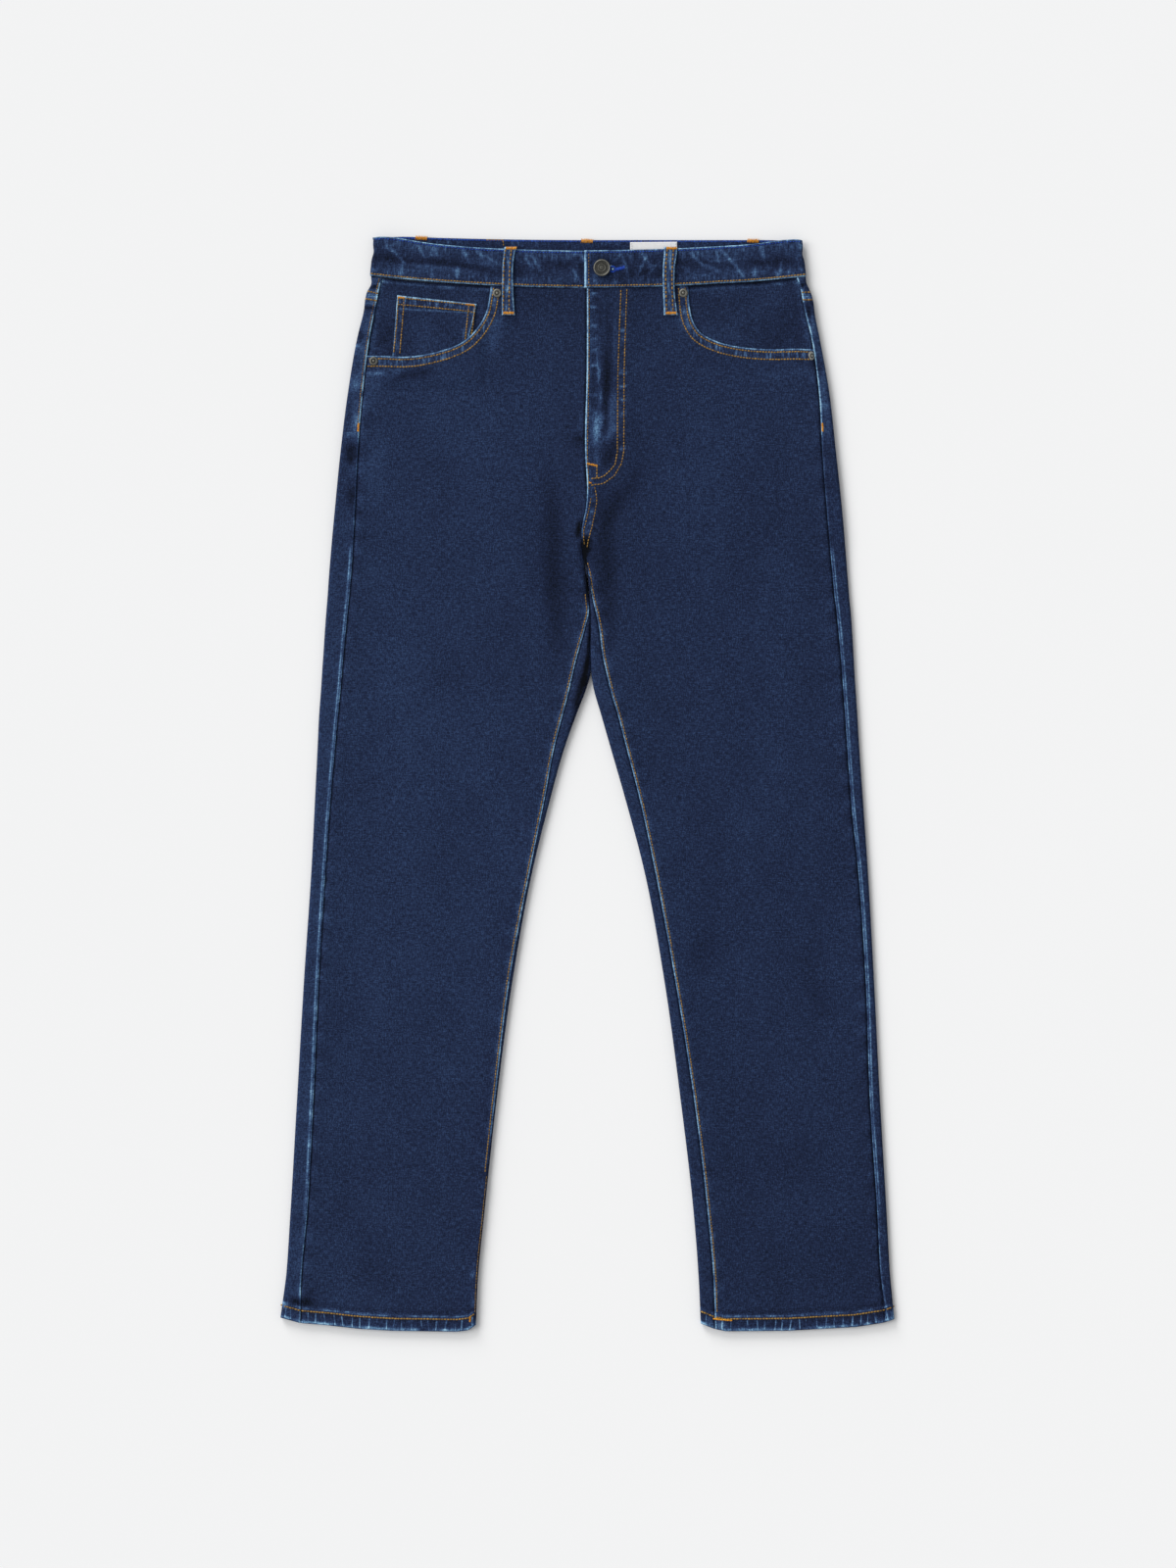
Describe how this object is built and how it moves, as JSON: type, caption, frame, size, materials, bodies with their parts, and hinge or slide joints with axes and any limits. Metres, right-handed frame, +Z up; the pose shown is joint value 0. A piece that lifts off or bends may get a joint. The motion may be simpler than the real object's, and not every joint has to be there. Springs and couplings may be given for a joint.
{
  "type": "straight leg jeans",
  "caption": "Straight leg denim trousers laid flat, front up, with waistband, belt loops, fly, curved front pockets, coin pocket and back patch pockets.",
  "frame": {"origin": "centre of the footprint, on the plane the garment lies on", "axes": "+X to the wearer's left, +Y from the hems to the waistband, +Z up from the table out of the garment's front"},
  "size_m": [0.6268, 1.1184, 0.0144],
  "materials": {
    "denim": "dark indigo twill, rubbed light along the seams",
    "zip_tape": "dark woven tape",
    "label": "plain white woven",
    "aged_metal": "dark aged"
  },
  "bodies": {
    "root": {"front_right": "denim", "front_left": "denim", "back_right": "denim", "back_left": "denim", "yoke_right": "denim", "yoke_left": "denim", "waistband_back": "denim", "waistband_front_right": "denim", "waistband_front_left": "denim", "belt_loop_front_right": "denim", "belt_loop_front_left": "denim", "belt_loop_back_right": "denim", "belt_loop_back_center": "denim", "belt_loop_back_left": "denim", "pocket_facing_right": "denim", "pocket_facing_left": "denim", "coin_pocket": "denim", "back_pocket_right": "denim", "back_pocket_left": "denim", "fly_zip": "zip_tape", "label": "label", "button": "aged_metal", "rivet_right_waist": "aged_metal", "rivet_right_side": "aged_metal", "rivet_left_waist": "aged_metal", "rivet_left_side": "aged_metal"}
  },
  "joints": []
}
